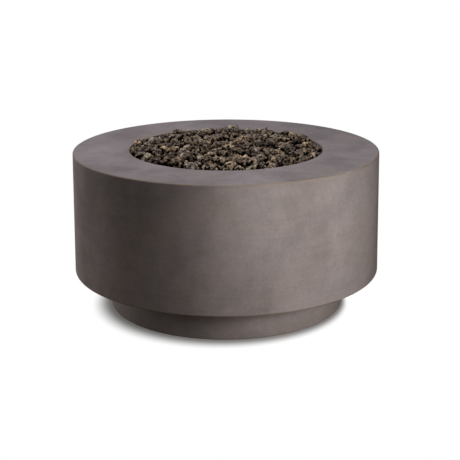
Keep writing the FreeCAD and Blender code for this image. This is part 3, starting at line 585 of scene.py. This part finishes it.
@dataclass(frozen=True)
class RubberFinish:
    """Matt moulded rubber or fibre, a little greyer where dust lies."""

    name: str
    base: Colour
    dusty: Colour
    roughness: float = 0.78
    dust: Mottle = Mottle(120, 4, 0.6)
    dust_span: Span = (0.42, 0.7)
    grain: Mottle = Mottle(1500, 2, 0.15)
    grain_depth: float = 0.00008
    gloss: float = 0.3

    def material(self) -> bpy.types.Material:
        """Write the material.

        Returns:
            The material.
        """
        material, recipe = make_material(self.name)
        dust = recipe.step(self.dust.clouds(recipe), *self.dust_span)
        grain = self.grain.clouds(recipe)
        surface(recipe, {
            "Base Color": recipe.mix(dust * self.dust.strength, self.base, self.dusty),
            "Roughness": self.roughness + grain * self.grain.strength,
            "Specular IOR Level": self.gloss,
            "Normal": recipe.bump(grain, self.grain_depth),
        })
        return material


FINISHES: dict[Slot, MetalFinish | RubberFinish] = {
    Slot.STAINLESS: MetalFinish("stainless_steel", (0.60, 0.59, 0.57, 1), (0.46, 0.44, 0.41, 1), 0.34),
    Slot.ZINC_STEEL: MetalFinish(
        "zinc_plate", (0.66, 0.66, 0.63, 1), (0.50, 0.50, 0.46, 1), 0.42, (500, 500, 500)
    ),
    Slot.BRASS: MetalFinish(
        "turned_brass", (0.72, 0.53, 0.24, 1), (0.48, 0.32, 0.13, 1), 0.30, (60, 60, 1100)
    ),
    Slot.CHROME: MetalFinish(
        "polished_chrome", (0.72, 0.72, 0.73, 1), (0.62, 0.62, 0.63, 1), 0.10, (300, 300, 300), 0.00001
    ),
    Slot.RUBBER: RubberFinish("black_rubber", (0.022, 0.022, 0.023, 1), (0.075, 0.071, 0.066, 1)),
    Slot.GASKET: RubberFinish("fibre_gasket", (0.150, 0.130, 0.110, 1), (0.230, 0.210, 0.180, 1)),
}


@dataclass
class Castings:
    """Drum and plinth, both of cast concrete, with the plinth's painted a little paler as painted light,
    for light the lamps give it too little of.
    """

    drum: str = "concrete_bowl"
    plinth: str = "concrete_plinth"
    deck_radius: float = 0.457
    opening_radius: float = 0.289
    # Painted light: the plinth's cement is paler to stand in for light the lamps don't give it.
    plinth_painted_light: float = 1.15

    def dress(self, finish: ConcreteFinish) -> None:
        """Give each casting its concrete, worn along its own rims.

        Args:
            finish: The concrete.
        """
        # The drum has no painted light; the plinth is painted paler.
        for node, painted_lightening in ((self.drum, 1.0), (self.plinth, self.plinth_painted_light)):
            low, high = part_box(node)
            rims = [Rim(high.x, low.z)]
            if node == self.drum:
                rims += [Rim(self.deck_radius, high.z), Rim(self.opening_radius, high.z)]
            dress(frame["nodes"][node], finish.material(f"{node}_cast", rims, painted_lightening))
            log.info("%s: cast concrete with %d worn rims", node, len(rims))


@dataclass
class LavaFill:
    """Loose porous stones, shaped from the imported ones, and the finer bed under them."""

    body: str = "fire_bowl"
    node: str = "lava_rocks"
    bed: str = "lava_bed"
    weld: float = 1e-5
    rounds: int = 2
    softness: float = 0.5
    lift: float = 0.0085
    crest: float = 0.487
    crest_share: float = 0.4
    lump_size: float = 0.015
    lump_height: float = 0.017
    lump_middle: float = 0.45
    fine_lumps: float = 2.3
    fine_share: float = 0.5
    pit_size: float = 0.0125
    pit_depth: float = 0.0075
    pit_reach: float = 0.42
    wall_radius: float = 0.2885
    # How each point's painted shade follows its lumps and pits.
    painted_shade_base: float = 0.35
    painted_shade_lump: float = 1.3
    painted_shade_pit: float = 0.9
    gap_reach: float = 0.045
    sky_rays: int = 7
    sky_rise: float = 0.6
    sky_gain: float = 1.3
    skin: float = 0.0012
    tone_spread: Span = (1.2, 1.6)
    pattern_reach: float = 9
    seed: int = 11

    def build(self, finish: LavaFinish) -> bpy.types.Object:
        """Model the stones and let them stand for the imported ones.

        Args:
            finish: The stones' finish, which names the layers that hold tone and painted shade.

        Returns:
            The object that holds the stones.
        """
        stones = bmesh.new()
        stones.from_mesh(frame["nodes"][self.node].data)
        bmesh.ops.remove_doubles(stones, verts=stones.verts, dist=self.weld)
        for _ in range(self.rounds):
            bmesh.ops.subdivide_edges(stones, edges=stones.edges, cuts=1, use_grid_fill=True, smooth=1.0)
        self._soften(stones)
        tone = stones.verts.layers.float.new(finish.tone_layer)
        relief = stones.verts.layers.float.new(finish.painted_shade_layer)
        draw = random.Random(self.seed)
        for count, stone in enumerate(self._islands(stones), start=1):
            self._shape(stone, tone, relief, draw)
        bmesh.ops.recalc_face_normals(stones, faces=stones.faces)
        # Painted shade between stones, from how much sky each point sees.
        self._paint_sky_shade(stones, relief)
        for face in stones.faces:
            face.smooth = True
        mesh = bpy.data.meshes.new("lava_stones")
        stones.to_mesh(mesh)
        stones.free()
        piece = bpy.data.objects.new("lava_stones", mesh)
        bpy.context.scene.collection.objects.link(piece)
        dress(piece, finish.stones())
        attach(piece, self.body)
        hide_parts(self.node)
        dress(frame["nodes"][self.bed], finish.bed())
        log.info("lava_stones: %d stones, %d faces", count, len(mesh.polygons))
        return piece

    def _soften(self, stones: bmesh.types.BMesh) -> None:
        """Round off the corners of the stones.

        Args:
            stones: All the stones.
        """
        axes = {"use_axis_x": True, "use_axis_y": True, "use_axis_z": True}
        bmesh.ops.smooth_vert(stones, verts=stones.verts, factor=self.softness, **axes)
        stones.normal_update()

    def _paint_sky_shade(self, stones: bmesh.types.BMesh, relief: bmesh.types.BMLayerItem) -> None:
        """Paint shade on points between stones, darker the more of the sky the stones hide from them.

        Args:
            stones: All the stones.
            relief: Layer for the painted shade of each point, 0 fully shaded in a pit and 1 on a lump.
        """
        stones.normal_update()
        tree = BVHTree.FromBMesh(stones)
        turns = [math.tau * number / self.sky_rays for number in range(self.sky_rays)]
        rays = [Vector((math.cos(turn), math.sin(turn), self.sky_rise)).normalized() for turn in turns]
        for vert in stones.verts:
            start = vert.co + vert.normal * self.skin
            clear = sum(tree.ray_cast(start, ray, self.gap_reach)[0] is None for ray in rays)
            # Painted shade: the less sky a point sees, the darker it is painted.
            vert[relief] *= min(1.0, self.sky_gain * clear / self.sky_rays)

    @staticmethod
    def _islands(stones: bmesh.types.BMesh) -> Iterator[list[bmesh.types.BMVert]]:
        """Part the mesh into its stones.

        Args:
            stones: All the stones.

        Returns:
            The points of each stone in turn.
        """
        seen = set()
        for start in stones.verts:
            if start in seen:
                continue
            seen.add(start)
            island, border = [start], [start]
            while border:
                for edge in border.pop().link_edges:
                    for vert in edge.verts:
                        if vert not in seen:
                            seen.add(vert)
                            island.append(vert)
                            border.append(vert)
            yield island

    def _shape(
        self,
        stone: list[bmesh.types.BMVert],
        tone: bmesh.types.BMLayerItem,
        relief: bmesh.types.BMLayerItem,
        draw: random.Random,
    ) -> None:
        """Raise a stone's lumps, sink its pits and keep it inside the opening.

        Args:
            stone: The stone's points.
            tone: Layer for the stone's colour.
            relief: Layer for the painted shade of each point, 0 fully shaded in a pit and 1 on a lump.
            draw: Source of the stone's chances.
        """
        shift = Vector(draw.uniform(-self.pattern_reach, self.pattern_reach) for _ in range(3))
        colour = draw.betavariate(*self.tone_spread)
        for vert in stone:
            place = vert.co + shift
            coarse = abs(noise.noise(place / self.lump_size))
            lump = coarse + self.fine_share * abs(noise.noise(place / self.lump_size * self.fine_lumps))
            shaded_pit = max(0.0, 1 - noise.voronoi(place / self.pit_size)[0][0] / self.pit_reach)
            vert.co += vert.normal * (self.lump_height * (lump - self.lump_middle) - self.pit_depth * shaded_pit)
            vert.co.z += self.lift
            vert.co.z -= max(0.0, vert.co.z - self.crest) * (1 - self.crest_share)
            out = math.hypot(vert.co.x, vert.co.y)
            if out > self.wall_radius:
                vert.co.xy *= self.wall_radius / out
            vert[tone] = colour
            # Painted shade: lumps keep their colour, pits are painted dark.
            height = self.painted_shade_base + self.painted_shade_lump * lump - self.painted_shade_pit * shaded_pit
            vert[relief] = min(1.0, max(0.0, height))


@dataclass
class GasTrain:
    """Burner, fittings, valve and fasteners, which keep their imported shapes."""

    finishes: Mapping[Slot, MetalFinish | RubberFinish]

    def dress(self) -> None:
        """Give each metal, rubber or fibre node the finish of its slot."""
        materials = {slot: finish.material() for slot, finish in self.finishes.items()}
        for part in frame["record"]["subparts"]:
            material = materials.get(Slot(part["material_slot"]))
            if material:
                dress(frame["nodes"][part["node"]], material)
                log.info("%s: %s", part["node"], material.name)


@dataclass
class Softbox:
    """Soft lamp that faces a point on the object's axis."""

    name: str
    place: Triple
    size: tuple[float, float]
    power: float
    tint: Tint
    aim_height: float

    def build(self) -> None:
        """Add the lamp."""
        lamp = bpy.data.lights.new(self.name, "AREA")
        lamp.shape = "RECTANGLE"
        lamp.size, lamp.size_y = self.size
        lamp.energy = self.power
        lamp.color = self.tint.value
        item = bpy.data.objects.new(self.name, lamp)
        item.location = self.place
        aim = Vector((0, 0, self.aim_height)) - Vector(self.place)
        item.rotation_euler = aim.to_track_quat("-Z", "Y").to_euler()
        item.visible_camera = False
        bpy.context.scene.collection.objects.link(item)


@dataclass
class Studio:
    """Pale floor, white surroundings, soft lamps and the camera at the photograph's angle."""

    floor_reach: float = 30
    # Painted shadow: the floor near the plinth is darker than the white beyond.
    painted_shadow_tint: Colour = (0.405, 0.395, 0.385, 1)
    floor_bounce: Colour = (0.20, 0.172, 0.152, 1)
    near_glow: float = 0.085
    foot_radius: float = 0.3565
    shadow_middle: Triple = (-0.0225, -0.030, 0)
    shadow_radius: float = 0.397
    shadow_edge: float = 0.004
    fade_start: float = 0.02
    fill: float = 0.06
    fill_tint: Colour = (1.0, 0.88, 0.80, 1)
    camera_back: float = 3.157
    camera_height: float = 1.1628
    tilt: float = 0.2913
    turn: float = -0.0036
    roll: float = -0.0030
    focal_pixels: float = 1072.14
    lamps: tuple[Softbox, ...] = (
        Softbox("key", (0.955, -1.265, 0.60), (0.50, 0.50), 7.7, Tint.PLAIN, 0.48),
        Softbox("front", (0.321, -0.700, 0.602), (0.35, 0.35), 0.66, Tint.PLAIN, 0.30),
        Softbox("near_front", (0.564, -0.801, 0.36), (0.50, 0.10), 1.05, Tint.CREAM, 0.24),
        Softbox("low_right", (0.31, -0.49, 0.028), (0.45, 0.03), 0.065, Tint.CREAM, 0.028),
        Softbox("left", (-1.372, 0.293, 0.258), (0.80, 0.50), 5.6, Tint.STRAW, 0.258),
        Softbox("rear", (0.9, 2.2, 0.26), (0.8, 0.4), 13, Tint.PLAIN, 0.25),
        Softbox("overhead", (-0.737, 0.231, 3.136), (0.9, 0.9), 65.5, Tint.COOL, 0.45),
    )

    def build(self) -> None:
        """Set up the stage."""
        bpy.context.scene.view_settings.view_transform = "Standard"
        self._world()
        self._floor()
        self._camera()
        for lamp in self.lamps:
            lamp.build()
        log.info("studio: floor, surroundings, %d lamps and camera", len(self.lamps))

    @staticmethod
    def _seen(recipe: Recipe) -> Value:
        """Tell apart the rays that see the stage.

        Args:
            recipe: The recipe to write to.

        Returns:
            One where a ray comes from the camera, a mirror or glass, and zero elsewhere.
        """
        camera, mirror, glass = (
            recipe.node("ShaderNodeLightPath", output=f"Is {kind} Ray")
            for kind in ("Camera", "Glossy", "Transmission")
        )
        return camera.most(mirror).most(glass)

    def _world(self) -> None:
        """White surroundings that light the object only a little."""
        world = bpy.data.worlds.new("surroundings")
        bpy.context.scene.world = world
        world.use_nodes = True
        recipe = Recipe(world.node_tree)
        dim = recipe.node("ShaderNodeBackground", sockets={"Color": self.fill_tint, "Strength": self.fill})
        white = recipe.node("ShaderNodeBackground", sockets={"Color": (1, 1, 1, 1), "Strength": 1.0})
        either = recipe.node("ShaderNodeMixShader", sockets={0: self._seen(recipe), 1: dim, 2: white})
        recipe.node("ShaderNodeOutputWorld", sockets={"Surface": either})

    def _floor(self) -> None:
        """Pale floor that keeps the object's shadow, with painted shadow around the plinth."""
        floor = bmesh.new()
        bmesh.ops.create_grid(floor, x_segments=1, y_segments=1, size=self.floor_reach)
        mesh = bpy.data.meshes.new("floor")
        floor.to_mesh(mesh)
        floor.free()
        item = bpy.data.objects.new("floor", mesh)
        bpy.context.scene.collection.objects.link(item)
        dress(item, self._floor_material())
        item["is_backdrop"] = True

    def _floor_material(self) -> bpy.types.Material:
        """Write the floor's material: painted shadow around the plinth, in which the lamps' own shadows
        also show, fading to white away from it.

        Returns:
            The material.
        """
        material, recipe = make_material("pale_floor")
        # Painted shadow: a darker zone round the plinth, placed by the shadow's middle and radius, fading
        # to white outward.
        past = self._away(recipe, (0, 0, 0)) - self.foot_radius
        left = self.shadow_radius - self._away(recipe, self.shadow_middle)
        painted_shadow_fade = recipe.step(past / (past + left), self.fade_start, 1.0)
        painted_shadow_fade = painted_shadow_fade.most(recipe.step(left, self.shadow_edge, 0.0))
        bounce = recipe.node("ShaderNodeBsdfDiffuse", sockets={"Color": self.floor_bounce})
        lit = recipe.node("ShaderNodeBsdfDiffuse", sockets={"Color": self.painted_shadow_tint})
        glow = recipe.node("ShaderNodeEmission", sockets={"Strength": self.near_glow})
        painted_shadow_floor = recipe.node("ShaderNodeAddShader", sockets={0: lit, 1: glow})
        white = recipe.node("ShaderNodeEmission", sockets={"Strength": 1.0})
        both = recipe.node("ShaderNodeMixShader", sockets={0: painted_shadow_fade, 1: painted_shadow_floor, 2: white})
        either = recipe.node("ShaderNodeMixShader", sockets={0: self._seen(recipe), 1: bounce, 2: both})
        recipe.node("ShaderNodeOutputMaterial", sockets={"Surface": either})
        return material

    @staticmethod
    def _away(recipe: Recipe, middle: Sequence[float]) -> Value:
        """Distance on the floor from a point."""
        ends = {0: recipe.place(), 1: middle}
        return recipe.node("ShaderNodeVectorMath", {"operation": "DISTANCE"}, ends, "Value")

    def _camera(self) -> None:
        """Camera at the photograph's angle, distance and framing."""
        lens = bpy.data.cameras.new("photo_camera")
        lens.lens = lens.sensor_width * self.focal_pixels / IMAGE_WIDTH
        item = bpy.data.objects.new("photo_camera", lens)
        level = Matrix.Rotation(math.pi / 2 - self.tilt, 4, "X")
        aim = Matrix.Rotation(self.turn, 4, "Z") @ level @ Matrix.Rotation(self.roll, 4, "Z")
        item.matrix_world = Matrix.Translation((0, -self.camera_back, self.camera_height)) @ aim
        bpy.context.scene.collection.objects.link(item)
        bpy.context.scene.camera = item


def write_size() -> None:
    """Work out the construction's box and the dressed object's box."""
    boxes = {"cad": CAD_BOX, "visual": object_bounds()}
    {key: [list(corner) for corner in box] for key, box in boxes.items()}


def main() -> None:
    """Build and dress every sub-assembly, then the studio."""
    logging.basicConfig(level=logging.INFO, format="%(name)s %(message)s")
    Castings().dress(ConcreteFinish())
    LavaFill().build(LavaFinish())
    GasTrain(FINISHES).dress()
    Studio().build()
    write_size()


if __name__ == "__main__":
    main()
